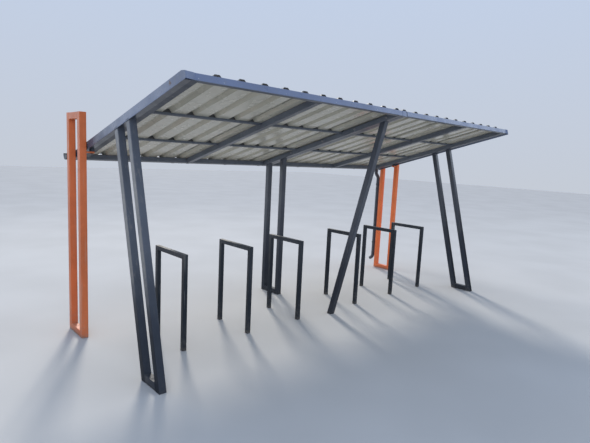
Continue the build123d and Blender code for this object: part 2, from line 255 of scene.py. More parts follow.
def toward_rear(g, low_end):
    """Share of darkening toward the low rear edge; low_end is (from y, to y, most)."""
    y = g.math("ADD", g.axis(g.coord, 1), g.ramp(g.noise(3.0, 4, 0.6), 0.3, 0.7, -0.12, 0.12))
    return g.ramp(y, low_end[0], low_end[1], 0.0, low_end[2])


def coated_sheet(name, top, under, rough=0.40):
    """Coated steel sheet: colour coat above, light backing coat below, rolling marks, dirt in the valleys."""
    g = Graph(name)
    nz = g.axis(g.geo.outputs["Normal"], 2)
    broad = g.noise(1.1, 4, 0.6)
    # along the slope the marks are long
    roll = g.noise(1.0, 3, 0.55, g.scaled(60, 1.5, 1.5))
    a = g.mix(g.ramp(broad, 0.3, 0.7), mul(top, 0.88), mul(top, 1.12))
    a = g.mix(g.ramp(roll, 0.50, 0.75, 0.0, 0.25), a, mul(top, 1.5))
    grime = g.ramp(g.noise(7.0, 6, 0.68), 0.42, 0.70, 0.0, 0.55)
    a = g.mix(grime, a, (0.135, 0.135, 0.135))
    b = g.mix(g.ramp(broad, 0.3, 0.7), mul(under, 0.93), mul(under, 1.05))
    b = g.mix(g.ramp(roll, 0.45, 0.8, 0.0, 0.5), b, mul(under, 0.86))
    stain_and_shade = g.ramp(g.noise(1.0, 5, 0.7, g.scaled(14, 3, 3)), 0.58, 0.82, 0.0, 0.30)
    b = g.mix(stain_and_shade, b, mul(under, 0.74))
    # water stains near the laps, warm and faint
    warm = g.ramp(g.noise(1.0, 4, 0.6, g.scaled(3.2, 1.6, 1.6), 0.8), 0.58, 0.80, 0.0, 0.20)
    b = g.mix(warm, b, (0.36, 0.27, 0.215))
    # painted shade in the open front ends of the ribs: the underside darker near the front edge
    y = g.math("ADD", g.axis(g.coord, 1), g.ramp(g.noise(12.0, 4, 0.6), 0.3, 0.7, -0.012, 0.012))
    b = g.mix(g.ramp(y, R(0, 50, 0)[1], R(0, 130, 0)[1], 0.92, 0.0), b, (0.060, 0.064, 0.080))
    face = g.ramp(nz, -0.15, 0.15)
    col = g.mix(face, b, a)
    r = g.ramp(g.noise(5.0, 4, 0.6), 0.3, 0.7, rough - 0.05, rough + 0.10)
    r = g.math("SUBTRACT", r, 0.10, True)
    # the weathered upper side is duller than the sheltered one
    r = g.math("ADD", r, g.math("MULTIPLY", face, 0.17), True)
    n1 = g.bump(g.noise(500.0, 2, 0.5), 0.10, 0.0003)
    n2 = g.bump(g.noise(3.0, 2, 0.5), 0.20, 0.006, n1)
    return g.set(color=col, rough=r, normal=n2, spec=0.5)


def plain_sheet(name, base, rough=0.35, dirt=(0.19, 0.18, 0.16), amount=0.4, scuff=None, low_end=None, spec=0.38):
    """Coated flat sheet; scuff is a (point, radius) of rubbed-through, rusty coating."""
    g = Graph(name)
    nz = g.axis(g.geo.outputs["Normal"], 2)
    broad = g.noise(1.4, 4, 0.6)
    fine = g.noise(18.0, 5, 0.62)
    col = g.mix(g.ramp(broad, 0.3, 0.7), mul(base, 0.92), mul(base, 1.10))
    col = g.mix(g.ramp(fine, 0.5, 0.8, 0.0, 0.4), col, mul(base, 1.3))
    up = g.math("MULTIPLY", g.ramp(nz, 0.2, 0.8), g.ramp(g.noise(11.0, 6, 0.7), 0.35, 0.7, 0.2, 1.0))
    col = g.mix(g.math("MULTIPLY", up, amount), col, dirt)
    run = g.ramp(g.noise(1.0, 3, 0.6, g.scaled(45, 45, 2.0)), 0.55, 0.75, 0.0, 0.25)
    col = g.mix(run, col, dirt)
    if low_end:
        # darker, and less shiny, toward the low rear end
        rear_darkening = toward_rear(g, low_end)
        col = g.mix(rear_darkening, col, mul(base, 0.30))
        spec = g.math("SUBTRACT", spec, g.math("MULTIPLY", rear_darkening, spec * 0.6), True)
    if scuff:
        d = g.nt.nodes.new("ShaderNodeVectorMath")
        d.operation = "DISTANCE"
        g.put(g.coord, d.inputs[0])
        d.inputs[1].default_value = scuff[0]
        edge = g.math("ADD", d.outputs["Value"], g.ramp(g.noise(95.0, 4, 0.65), 0.3, 0.7, -0.009, 0.009))
        wear_and_shade = g.ramp(edge, scuff[1] * 0.55, scuff[1], 1.0, 0.0)
        rust = g.mix(g.ramp(g.noise(160.0, 4, 0.6), 0.4, 0.6), (0.16, 0.075, 0.035), (0.055, 0.030, 0.020))
        col = g.mix(g.math("MULTIPLY", wear_and_shade, 0.85), col, rust)
    r = g.ramp(g.noise(7.0, 4, 0.6), 0.3, 0.7, rough - 0.06, rough + 0.10)
    n1 = g.bump(g.noise(450.0, 2, 0.5), 0.10, 0.0003)
    n2 = g.bump(g.noise(4.0, 2, 0.5), 0.25, 0.004, n1)
    return g.set(color=col, rough=r, normal=n2, spec=spec)


def zinc(name, base=(0.42, 0.43, 0.44), rough=0.38, metal=0.85):
    g = Graph(name)
    spangle = g.voronoi(260.0)
    col = g.mix(g.ramp(spangle, 0.0, 0.8), mul(base, 0.82), mul(base, 1.15))
    col = g.mix(g.ramp(g.noise(60.0, 4, 0.6), 0.5, 0.75, 0.0, 0.5), col, mul(base, 0.6))
    r = g.ramp(g.noise(90.0, 3, 0.6), 0.3, 0.7, rough - 0.05, rough + 0.14)
    return g.set(color=col, rough=r, normal=g.bump(g.noise(700.0, 2, 0.5), 0.15, 0.0003), metal=metal)


STEEL = (0.046, 0.055, 0.074)
ORANGE = (0.60, 0.150, 0.050)
RACK = (0.027, 0.034, 0.044)
PIPE = (0.050, 0.058, 0.074)
# the steel and rack coats are darker toward the ground: painted shade
MATS = {
    "steel_coat": powder_coat("steel_coat_paint", STEEL, 0.36, spec=0.6, low_shade=(0.25, 1.25, 0.75)),
    "orange_coat": powder_coat("orange_coat_paint", ORANGE, 0.40, dust=(0.56, 0.36, 0.26), dust_amount=0.4,
                               low_dirt=0.35, scratch=0.15, bare=(0.72, 0.36, 0.20), spec=0.35),
    "rack_coat": powder_coat("rack_coat_paint", RACK, 0.46, dust_amount=0.5, low_dirt=0.5, scratch=0.5, spec=0.4,
                             low_shade=(0.2, 1.3, 0.45)),
    "downpipe_coat": powder_coat("downpipe_coat_paint", PIPE, 0.34, low_dirt=0.4),
    "roof_sheet": coated_sheet("roof_sheet_coat", (0.060, 0.066, 0.078), (0.475, 0.452, 0.368), 0.32),
    "flashing": plain_sheet("flashing_coat", (0.138, 0.172, 0.272), 0.30, scuff=(R(-1.5, 153, -25), 0.017), spec=0.45),
    "gutter_metal": plain_sheet("gutter_coat", (0.042, 0.050, 0.064), 0.42, amount=0.35, spec=0.22),
}
ZINC = zinc("zinc_screws", (0.30, 0.31, 0.325), 0.44)
DARK_ZINC = zinc("blackened_zinc", (0.07, 0.07, 0.075), 0.45, 0.6)
ALU = zinc("painted_rivets", (0.30, 0.33, 0.39), 0.38, 0.5)
RUBBER = plain_sheet("seal_rubber", (0.022, 0.022, 0.023), 0.6, amount=0.3)
# dark plastic for the blocks that stand in for the shade in the rib cavities
RIB_CAVITY_SHADE = plain_sheet("rib_cavity_shade_plastic", (0.070, 0.070, 0.070), 0.65, amount=0.3, spec=0.2)
SLOT_OF = {s["node"]: s["material_slot"] for s in frame["record"]["subparts"]}
# the roof steel and the end rafter are copies of the steel coat with painted light on their standing faces; the end
# rafter is also darker toward the low rear end
ROOF_STEEL = powder_coat("roof_steel_paint", STEEL, 0.36, side_light=((0.20, 0.225, 0.265), 0.60))
END_RAFTER = powder_coat("end_rafter_paint", STEEL, 0.46, side_light=((0.20, 0.225, 0.265), 0.30), spec=0.28, low_end=(-0.45, 0.40, 0.96))
# the left posts take a lighter copy of the steel coat, darker low down, with a painted reflection on their outer faces:
# painted light and shade
LEFT_POSTS = powder_coat("left_post_paint", mul(STEEL, 1.30), 0.36, spec=0.62, low_shade=(0.30, 1.00, 0.88),
                          outer=((0.215, 0.205, 0.190), 0.70))
# the right posts take a copy of the steel coat with painted shade low down and on the lower front faces
RIGHT_POSTS = powder_coat("right_post_paint", STEEL, 0.38, spec=0.6, low_shade=(0.30, 1.30, 0.40), front=(0.95, 1.90, 0.92))
# the verge takes a less shiny copy of the flashing coat, darker toward the rear: painted shade
VERGE = plain_sheet("verge_coat", (0.140, 0.170, 0.250), 0.32, scuff=(R(-1.5, 153, -25), 0.017), low_end=(-0.30, 0.70, 0.80))
# a brighter copy of the orange coat for the right-hand pieces: painted sunlight
ORANGE_SUNLIT = (0.87, 0.182, 0.045)
ORANGE_SUNLIT_COAT = powder_coat("orange_coat_paint_sunlit", ORANGE_SUNLIT, 0.42, dust=(0.56, 0.36, 0.26), dust_amount=0.4,
                           low_dirt=0.35, scratch=0.15, bare=(0.72, 0.36, 0.20), spec=0.35)
# the seat on each bracket has the paint of the roof steel that it is fixed to
BRACKETS = {}
for name, tone in (("left_roof_bracket", ORANGE), ("right_roof_bracket", ORANGE_SUNLIT)):
    low = min(v.co.z for v in NODES[name].data.vertices)
    BRACKETS[name] = powder_coat(name + "_paint", tone, 0.40, dust=(0.56, 0.36, 0.26), dust_amount=0.4, low_dirt=0.35,
                                 scratch=0.15, bare=(0.72, 0.36, 0.20), spec=0.35, above=(low + 0.0145, mul(STEEL, 0.8)))
for name, obj in NODES.items():
    mat = MATS[SLOT_OF[name]]
    if name.endswith(("_rafter", "_beams", "_purlins")) or name.startswith("centre_rafter"):
        mat = ROOF_STEEL
    # the right-hand orange pieces take the sunlit copy: painted light
    if name.startswith("right_") and SLOT_OF[name] == "orange_coat":
        mat = ORANGE_SUNLIT_COAT
    if name.endswith("_verge_flashing"):
        mat = VERGE
    if name == "left_end_rafter":
        mat = END_RAFTER
    if name in BRACKETS:
        mat = BRACKETS[name]
    if name == "left_end_posts":
        mat = LEFT_POSTS
    if name == "right_end_posts":
        mat = RIGHT_POSTS
    if obj.material_slots:
        for s in obj.material_slots:
            s.material = mat
    else:
        obj.data.materials.append(mat)
for name in ("roof_sheet_left", "roof_sheet_right"):
    # rolled bends of the trapezoidal sheet
    m = NODES[name].modifiers.new("bend_radius", "BEVEL")
    m.width = 0.0028
    m.segments = 3
    m.limit_method = "ANGLE"
    m.angle_limit = math.radians(30)
    m.use_clamp_overlap = True

# ------------------------------------------------------------------ small parts: one joined mesh for each kind
class Shape:
    """Collects closed solids, in drawing millimetres, into one mesh."""

    def __init__(self):
        self.v, self.f = [], []

    def ring(self, pts):
        k = len(self.v)
        self.v += [Vector(p) for p in pts]
        return list(range(k, k + len(pts)))

    def skin(self, rings, loop=False):
        n = len(rings[0])
        pairs = list(zip(rings, rings[1:])) + ([(rings[-1], rings[0])] if loop else [])
        for a, b in pairs:
            for i in range(n):
                j = (i + 1) % n
                self.f.append((a[i], a[j], b[j], b[i]))
        if not loop:
            self.f.append(tuple(reversed(rings[0])))
            self.f.append(tuple(rings[-1]))

    def prism(self, a, b):
        self.skin([self.ring(a), self.ring(b)])

    def turned(self, at, axis, profile, sides, turn=0.0):
        """Solid of revolution: profile is (radius, height) pairs along axis, all radii above zero."""
        axis = Vector(axis).normalized()
        e1 = axis.orthogonal().normalized()
        e2 = axis.cross(e1)
        at = Vector(at)
        rings = []
        for r, h in profile:
            rings.append(self.ring([at + axis * h + (e1 * math.cos(t) + e2 * math.sin(t)) * r
                                    for t in (turn + 2 * math.pi * k / sides for k in range(sides))]))
        self.skin(rings)

    def tube(self, path, radii, sides=6, loop=False):
        rings = []
        n = len(path)
        up = None
        for i, p in enumerate(path):
            q = path[(i + 1) % n] if loop or i < n - 1 else p
            o = path[i - 1] if loop or i > 0 else p
            d = (Vector(q) - Vector(o)).normalized()
            if up is None:
                up = d.orthogonal().normalized()
            e1 = (up - d * up.dot(d)).normalized()
            up = e1
            e2 = d.cross(e1)
            r = radii[i] if isinstance(radii, list) else radii
            rings.append(self.ring([Vector(p) + (e1 * math.cos(t) + e2 * math.sin(t)) * r
                                    for t in (2 * math.pi * k / sides for k in range(sides))]))
        self.skin(rings, loop)

    def bead(self, points, r, step=4.2):
        """A weld bead along straight runs: rippled, a little uneven."""
        path, radii = [], []
        for a, b in zip(points, points[1:]):
            a, b = Vector(a), Vector(b)
            m = max(2, int((b - a).length / step))
            for k in range(m):
                path.append(a.lerp(b, k / m))
        path.append(Vector(points[-1]))
        for i in range(len(path)):
            wob = Vector((rng.uniform(-1, 1), rng.uniform(-1, 1), rng.uniform(-1, 1))) * 0.10 * r
            path[i] = path[i] + wob
            radii.append(r * (0.88 + 0.20 * (i % 2) + rng.uniform(-0.08, 0.08)))
        radii[0] *= 0.6
        radii[-1] *= 0.6
        self.tube(path, radii, 6)

    def build(self, name, mat, slot=None, smooth=38.0):
        me = bpy.data.meshes.new(name)
        me.from_pydata([W(*p) for p in self.v], [], self.f)
        bm = bmesh.new()
        bm.from_mesh(me)
        bmesh.ops.recalc_face_normals(bm, faces=bm.faces)
        bm.to_mesh(me)
        bm.free()
        for p in me.polygons:
            p.use_smooth = True
        me.set_sharp_from_angle(angle=math.radians(smooth))
        me.materials.append(mat)
        o = bpy.data.objects.new(name, me)
        scene.collection.objects.link(o)
        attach(o, "root")
        return o


def rp(x, u, v):
    """Point on the roof in drawing millimetres."""
    return Vector((x, FRONT_Y + u * CP + v * SP, FRONT_Z - u * SP + v * CP))


NORMAL = Vector((0, SP, CP))
ALONG = Vector((0, CP, -SP))


def roof_prism(shape, section, u0, u1):
    """A section of (x, v) points run down the slope from u0 to u1."""
    shape.prism([rp(x, u0, v) for x, v in section], [rp(x, u1, v) for x, v in section])


def hex_screw(head, seal, at, axis, af=8.0, washer=8.0, turn=0.0):
    """Self-drilling screw: bonded rubber seal, dished washer and flanged hexagon head."""
    axis = Vector(axis).normalized()
    at = Vector(at)
    r = af / math.sqrt(3.0)
    seal.turned(at - axis * 0.2, axis, [(washer * 0.86, 0.0), (washer * 0.94, 0.8), (washer * 0.86, 1.5)], 14)
    head.turned(at + axis * 1.2, axis, [(washer, 0.0), (washer, 0.45), (washer * 0.55, 1.35)], 14)
    head.turned(at + axis * 2.2, axis, [(r * 1.32, 0.0), (r * 1.30, 0.8), (r * 1.05, 1.1)], 14)
    head.turned(at + axis * 3.0, axis, [(r, 0.0), (r, 3.4), (r * 0.86, 4.2)], 6, turn)


def dome_rivet(shape, at, axis, r=4.2, h=1.7):
    axis = Vector(axis).normalized()
    shape.turned(Vector(at) - axis * 0.2, axis,
                 [(r, 0.0), (r * 0.98, 0.45), (r * 0.84, h * 0.72), (r * 0.5, h), (r * 0.30, h * 1.02), (r * 0.26, h * 0.55)], 16)


def hex_bolt(shape, at, axis, af, h, washer_r, washer_t, turn=0.0, stud=0.0):
    axis = Vector(axis).normalized()
    at = Vector(at)
    r = af / math.sqrt(3.0)
    shape.turned(at, axis, [(washer_r * 0.98, 0.0), (washer_r, 0.4), (washer_r, washer_t - 0.3), (washer_r * 0.97, washer_t)], 24)
    shape.turned(at + axis * washer_t, axis, [(r * 0.94, 0.0), (r, 0.6), (r, h - 1.0), (r * 0.86, h)], 6, turn)
    if stud:
        shape.turned(at + axis * (washer_t + h - 0.2), axis,
                     [(af * 0.31, 0.0), (af * 0.31, stud - 1.0), (af * 0.24, stud)], 16)


# roof screws in the valleys, over each line of steel, and stitching screws on the lapped ribs
heads, seals, tips = Shape(), Shape(), Shape()
valleys = []
for first, last, lo, hi in ((286.0, 2156.0, 66.0, HALF - 8), (2482.0, 4552.0, HALF + 8, 4734.0)):
    x = first - 103.5
    while x < hi:
        if x > lo:
            valleys.append(x)
        x += 207.0
valleys += [78.0, 4722.0]
for x in valleys:
    for u in (43.0, PURLIN_U[0] + 10, PURLIN_U[1] + 10, SLOPE_LEN - 30):
        du, dx = rng.uniform(-2.5, 2.5), rng.uniform(-5, 5)
        tilt = Vector((rng.uniform(-0.03, 0.03), rng.uniform(-0.03, 0.03), 0))
        hex_screw(heads, seals, rp(x + dx, u + du, STEEL_V + 1.0), NORMAL + tilt, turn=rng.uniform(0, 1))
        if u > 100 and u < 2000:
            tips.turned(rp(x + dx, u + du, STEEL_V - PURLIN + 0.5), -NORMAL, [(2.4, 0.0), (2.4, 5.0), (1.9, 7.5), (0.5, 10.0)], 8)
LAPS = [RIBS[4], RIBS[9], 2482.0 + 4 * 207.0, 2482.0 + 9 * 207.0]
for c in LAPS:
    for k in range(6):
        hex_screw(heads, seals, rp(c + rng.uniform(-3, 3), 150 + 360 * k + rng.uniform(-8, 8), STEEL_V + 30.9), NORMAL,
                  af=7.0, washer=7.0, turn=rng.uniform(0, 1))
for x in (31.0, LENGTH - 31.0):
    for k in range(7):
        hex_screw(heads, seals, rp(x, 60 + 330 * k, 1.5), NORMAL, af=7.0, washer=7.0, turn=rng.uniform(0, 1))
heads.build("roof_screw_heads", ZINC)
seals.build("roof_screw_seals", RUBBER)
tips.build("roof_screw_tips", ZINC)

# dark blocks in the ribs, over each purlin: painted shade of the rib cavities, built as solids
block = Shape()
for c in RIBS:
    for u in PURLIN_U:
        du = rng.uniform(-3, 3)
        base, top = STEEL_V + 0.4, STEEL_V + 27.5
        k = rng.uniform(0.92, 1.0)
        roof_prism(block, [(c - 33 * k, base), (c + 33 * k, base), (c + 17 * k, top), (c - 17 * k, top)], u - 2 + du, u + 21 + du)
block.build("rib_cavity_shade_blocks", RIB_CAVITY_SHADE)

# side laps of the sheets: the upper sheet's doubled rib above, the lower sheet's free lip below
lap = Shape()
for c in LAPS:
    hb, ht, base, top = 42.55, 20.55, STEEL_V + 1.05, STEEL_V + 30.05
    t = 0.9
    roof_prism(lap, [(c - hb - 1, base), (c - ht, top), (c + ht, top), (c + hb, base), (c + hb + 9, base),
                     (c + hb + 9, base + t), (c + hb + 0.5, base + t), (c + ht + 0.5, top + t), (c - ht - 0.5, top + t),
                     (c - hb - 1.8, base + 0.3)], SHEET_U0 + 7, SHEET_U1 - 0.5)
    x0 = c - 42.0
    for ua, ub in ((36, PURLIN_U[0] - 5), (PURLIN_U[0] + 25, PURLIN_U[1] - 5), (PURLIN_U[1] + 25, SLOPE_LEN - 36)):
        roof_prism(lap, [(x0 + 1.5, STEEL_V - 0.1), (x0 + 1.5, STEEL_V - 1.1), (x0 - 9, STEEL_V - 3.6),
                         (x0 - 15, STEEL_V - 4.6), (x0 - 15, STEEL_V - 3.7), (x0 - 9, STEEL_V - 2.7), (x0 - 1, STEEL_V - 0.1)], ua, ub)
lap.build("roof_sheet_laps", MATS["roof_sheet"], "roof_sheet")

# flashings: cover strap over the front joint, folded rims, rivets
strap = Shape()
for a, b, low in ((2399.0, 2470.0, -53.0),):
    prof = [(-1.3, 1.3), (16, 1.3), (16, 0.15), (-0.15, 0.15), (-0.15, low + 1.2), (5, low + 1.2), (5, low), (-1.3, low)]
    strap.prism([rp(a, u, v) for u, v in prof], [rp(b, u, v) for u, v in prof])
for a, b in ((1.0, 2398.0), (2483.0, LENGTH - 1.0)):
    # bottom edge of the front flashing is folded back on itself under the beam
    prof = [(0.2, -45.9), (0.2, -47.4), (13.0, -50.2), (13.0, -49.2), (1.6, -46.6), (1.6, -45.9)]
    strap.prism([rp(a, u, v) for u, v in prof], [rp(b, u, v) for u, v in prof])
# folded closure across the left front corner, from the verge's forward end back to the front flashing
near, far = (-0.2, -38.5), (92.0, -0.15)
strap.prism([rp(near[0], near[1], v) for v in (-12.5, -61.0)] + [rp(near[0] + 1.4, near[1] + 1.4, v) for v in (-61.0, -12.5)],
            [rp(far[0] - 1.4, far[1] - 1.3, v) for v in (1.2, -49.0)] + [rp(far[0], far[1], v) for v in (-49.0, 1.2)])
near, far = (LENGTH + 0.2, -12.8), (LENGTH - 34.0, -0.15)
strap.prism([rp(near[0], near[1], v) for v in (-4.0, -62.0)] + [rp(near[0] - 1.4, near[1] + 1.4, v) for v in (-62.0, -4.0)],
            [rp(far[0] + 1.4, far[1] - 1.3, v) for v in (1.2, -49.0)] + [rp(far[0], far[1], v) for v in (-49.0, 1.2)])
strap.build("front_flashing_trims", MATS["flashing"], "flashing")
seal = Shape()
seal.prism([rp(2471.2, -0.1, 1.0), rp(2471.2, -2.2, 0.6), rp(2471.2, -2.2, -47.5), rp(2471.2, -0.1, -48.0)],
           [rp(2482.0, -0.1, 1.0), rp(2482.0, -0.6, 0.6), rp(2482.0, -0.6, -47.5), rp(2482.0, -0.1, -48.0)])
seal.build("flashing_joint_sealant", RUBBER)

rivets = Shape()
OUT = -ALONG
for x in (118.0, 315.5, 875.5, 1435.5, 1995.5, 2380.0, 2492.0, 2995.0, 3555.0, 4115.0, 4675.0):
    dome_rivet(rivets, rp(x, 0.0, -34.8 + rng.uniform(-1.5, 1.5)), OUT)
for v in (-12.0, -40.0):
    for x in (2412.0, 2457.0):
        dome_rivet(rivets, rp(x, -1.3, v), OUT)
for k in range(6):
    u = 45 + 405 * k
    dome_rivet(rivets, rp(-1.5, u, -17.0), (-1, 0, 0))
    dome_rivet(rivets, rp(LENGTH + 1.5, u, -17.0), (1, 0, 0))
rivets.build("flashing_rivets", ALU)

# bolts that join the two halves through the centre rafters, and the bolts of the orange brackets
bolts = Shape()
for u in (150.0, 560.0, 1030.0, 1560.0, 1980.0):
    hex_bolt(bolts, rp(HALF - SEAM / 2 - TUBE, u, STEEL_V - 26), (-1, 0, 0), 18.0, 7.5, 12.0, 2.5, rng.uniform(0, 1))
    hex_bolt(bolts, rp(HALF + SEAM / 2 + TUBE, u, STEEL_V - 26), (1, 0, 0), 18.0, 10.0, 12.0, 2.5, rng.uniform(0, 1), 6.0)
bolts.build("frame_bolts", ZINC)
bolts = Shape()
for side in ("left", "right"):
    y0 = CORNERS[side][1] + 8.0
    z = FRONT_Z - (y0 + 44 - FRONT_Y) / CP * SP + (STEEL_V - RAFTER_H) / CP - 29.5
    for dy in (12.0, 32.0):
        hex_bolt(bolts, (48.0 if side == "left" else LENGTH - 48.0, y0 + dy, z), (0, 0, -1), 13.0, 5.5, 9.0, 1.6, rng.uniform(0, 1))
bolts.build("bracket_bolts", DARK_ZINC)

# weld beads
def post_y(y0, z, lean):
    return y0 + lean * z


weld = Shape()
WIDE = TUBE * math.sqrt(1 + LEAN * LEAN)
for x0 in (0.0, LENGTH - TUBE):
    a, b = 542.0 + WIDE, 770.0
    for y, s_ in ((a, 1), (b, -1)):
        o = 1.2 * s_
        weld.bead([(x0 + 0.5, y + o, 2), (x0 + 0.5, y + TUBE * LEAN + o, TUBE), (x0 + TUBE - 0.5, y + TUBE * LEAN + o, TUBE),
                   (x0 + TUBE - 0.5, y + o, 2)], 2.6)
x0 = MID_X
for y, s_ in ((MID_INNER_Y + TUBE, 1), (MID_REAR_Y, -1)):
    weld.bead([(x0 + 0.5, y + s_, 2), (x0 + 0.5, y + s_, TUBE), (x0 + TUBE - 0.5, y + s_, TUBE), (x0 + TUBE - 0.5, y + s_, 2)], 2.6)


def top_ring(y0, w, lean, x0=MID_X):
    v = STEEL_V - RAFTER_H
    py, pz = FRONT_Y + v * SP, FRONT_Z + v * CP
    pts = []
    for k in (0.0, w):
        t = (y0 + k + lean * pz - py) / (CP + lean * SP)
        pts.append((py + t * CP, pz - t * SP - 0.8))
    (ya, za), (yb, zb) = pts
    return [(x0, ya, za), (x0 + TUBE, ya, za), (x0 + TUBE, yb, zb), (x0, yb, zb), (x0, ya, za)]


for y0, w, lean in ((MID_INNER_Y, TUBE, 0.0), (MID_REAR_Y, TUBE, 0.0), (STRUT_Y, WIDE, -LEAN)):
    weld.bead(top_ring(y0, w, lean), 2.8)
for x0 in (0.0, LENGTH - TUBE):
    for y0 in (542.0, 770.0):
        weld.bead(top_ring(y0, WIDE, LEAN, x0), 2.8)
# long seams that close the joint between head rails and end rafters
for x in (TUBE, LENGTH - TUBE):
    low = STEEL_V - RAFTER_H + 0.05
    for k in range(7):
        u0, u1 = 4 + 302 * k, 4 + 302 * (k + 1) - rng.uniform(0.5, 1.5)
        roof_prism(weld, [(x - 6.5, low + 0.5), (x - 5, low), (x + 5, low), (x + 6.5, low + 0.5), (x + 1, low + 4.5), (x - 1, low + 4.5)], u0, u1)
# beams on rafters
E1 = TUBE
beam_ends = [E1 + TUBE, HALF - SEAM / 2 - TUBE, HALF + SEAM / 2 + TUBE, LENGTH - E1 - TUBE]
for x in beam_ends:
    for u_in in (1.5 + BEAM_W, SLOPE_LEN - BEAM_W):
        weld.bead([rp(x, u_in, STEEL_V - 4), rp(x, u_in, STEEL_V - BEAM_H)], 2.4)
for x in MID_RAFTER_X:
    for u in (1.5 + BEAM_W, SLOPE_LEN - BEAM_W):
        weld.bead([rp(x, u, STEEL_V - 4), rp(x, u, STEEL_V - RAFTER_H + 1), rp(x + TUBE, u, STEEL_V - RAFTER_H + 1), rp(x + TUBE, u, STEEL_V - 4)], 2.4)
rafter_faces = [E1 + TUBE, MID_RAFTER_X[0], MID_RAFTER_X[0] + TUBE, HALF - SEAM / 2 - TUBE,
                HALF + SEAM / 2 + TUBE, MID_RAFTER_X[1], MID_RAFTER_X[1] + TUBE, LENGTH - E1 - TUBE]
for x in rafter_faces:
    for u in PURLIN_U:
        weld.bead([rp(x, u, STEEL_V - 2), rp(x, u, STEEL_V - PURLIN), rp(x, u + PURLIN, STEEL_V - PURLIN), rp(x, u + PURLIN, STEEL_V - 2)], 1.7, 3.4)
weld.build("frame_weld_beads", MATS["steel_coat"], "steel_coat", 60)

weld = Shape()
for side, (x0, y0, depth) in CORNERS.items():
    ya, yb = y0 + TUBE, y0 + depth - TUBE
    for y, s_ in ((ya, 1), (yb, -1)):
        weld.bead([(x0 + 4, y + s_, 2), (x0 + 4, y + s_, TUBE), (x0 + TUBE - 4, y + s_, TUBE), (x0 + TUBE - 4, y + s_, 2)], 2.6)
        z0, z1 = CORNER_H - TUBE, CORNER_H - 1.5
        weld.bead([(x0 + 4, y + s_, z1), (x0 + 4, y + s_, z0), (x0 + TUBE - 4, y + s_, z0), (x0 + TUBE - 4, y + s_, z1)], 2.6)
    xf = x0 + TUBE if side == "left" else x0
    sg = 1 if side == "left" else -1
    b0, b1 = y0 + 8.0, y0 + 52.0
    zu = [FRONT_Z - (y - FRONT_Y) / CP * SP + (STEEL_V - RAFTER_H) / CP - 0.5 for y in (b0, b1)]
    weld.bead([(xf + sg, b0, zu[1] - 15.5), (xf + sg, b0, zu[1] - 28.5), (xf + sg, b1, zu[1] - 28.5), (xf + sg, b1, zu[1] - 15.5)], 2.2)
weld.build("corner_frame_weld_beads", MATS["orange_coat"], "orange_coat", 60)

weld = Shape()
for x in RACK_X:
    t = RACK_TUBE
    for ya, s_ in ((RACK_FRONT, 1), (RACK_REAR, -1)):
        for xs in (x, x + t):
            weld.bead([(xs, ya + s_ * 2.5, RACK_H - 2.5), (xs, ya + s_ * (t - 0.5), RACK_H - t + 0.5)], 1.3, 3.0)
        weld.bead([(x + 2, ya + s_ * (t + 0.6), RACK_H - t - 0.6), (x + t - 2, ya + s_ * (t + 0.6), RACK_H - t - 0.6)], 2.2)
weld.build("rack_weld_beads", MATS["rack_coat"], "rack_coat", 60)

# gutter: rolled front bead, inside couplers, hangers on the rear beam
gut = Shape()


def gutter_arc(r, a0, a1, n):
    """Points of the gutter's section: angle 0 is the outer rim, 180 the inner rim, going under."""
    return [(GUTTER_Y + r * math.cos(math.radians(a0 + (a1 - a0) * k / n)),
             GUTTER_Z - r * math.sin(math.radians(a0 + (a1 - a0) * k / n))) for k in range(n + 1)]


g_len = (G_X1 - G_X0 - 6.0) / 4
joints = [G_X0 + (g_len + 2.0) * k - 1.0 for k in (1, 2, 3)]
for k in range(4):
    xa = G_X0 + (g_len + 2.0) * k
    gut.tube([(xa + 0.2, GUTTER_Y + 43.0, GUTTER_Z + 4.5), (xa + g_len / 2, GUTTER_Y + 43.0, GUTTER_Z + 4.5),
              (xa + g_len - 0.2, GUTTER_Y + 43.0, GUTTER_Z + 4.5)], 6.4, 16)
gut.build("gutter_rolled_bead", MATS["gutter_metal"], "gutter_metal")
coup = Shape()
for x in joints:
    sec = gutter_arc(47.9, 6, 176, 24) + gutter_arc(46.4, 176, 6, 24)
    coup.prism([(x - 22, y, z) for y, z in sec], [(x + 22, y, z) for y, z in sec])
    for xo in (-16.5, 16.5):
        sec = gutter_arc(51.4, 20, 172, 24) + gutter_arc(50.1, 172, 20, 24)
        coup.prism([(x + xo - 4.5, y, z) for y, z in sec], [(x + xo + 4.5, y, z) for y, z in sec])
coup.build("gutter_couplers", MATS["gutter_metal"], "gutter_metal")
hang = Shape()
by = FRONT_Y + SLOPE_LEN * CP + (STEEL_V - 25) * SP
for x in (48.0, 590.0, 1095.0, 1281.0, 1800.0, 2322.0, 2508.0, 3030.0, 3549.0, 3735.0, 4250.0, 4700.0):
    sec = gutter_arc(52.6, 22, 178, 24) + gutter_arc(50.2, 178, 22, 24)
    hang.prism([(x - 12.5, y, z) for y, z in sec], [(x + 12.5, y, z) for y, z in sec])
    # plate on the rear face of the beam, and the short arm out to the gutter's inner rim
    plate = [rp(0, SLOPE_LEN + 0.2, STEEL_V - 4), rp(0, SLOPE_LEN + 2.6, STEEL_V - 4), rp(0, SLOPE_LEN + 2.6, STEEL_V - BEAM_H + 2), rp(0, SLOPE_LEN + 0.2, STEEL_V - BEAM_H + 2)]
    hang.prism([(x - 12.5, p.y, p.z) for p in plate], [(x + 12.5, p.y, p.z) for p in plate])
    hang.turned(rp(x, SLOPE_LEN + 2.4, STEEL_V - 15), ALONG, [(6.0, 0.0), (6.0, 1.0), (4.0, 1.3), (3.6, 4.6)], 6)
    hang.turned(rp(x, SLOPE_LEN + 2.4, STEEL_V - 38), ALONG, [(6.0, 0.0), (6.0, 1.0), (4.0, 1.3), (3.6, 4.6)], 6)
hang.build("gutter_hangers", MATS["gutter_metal"], "gutter_metal")

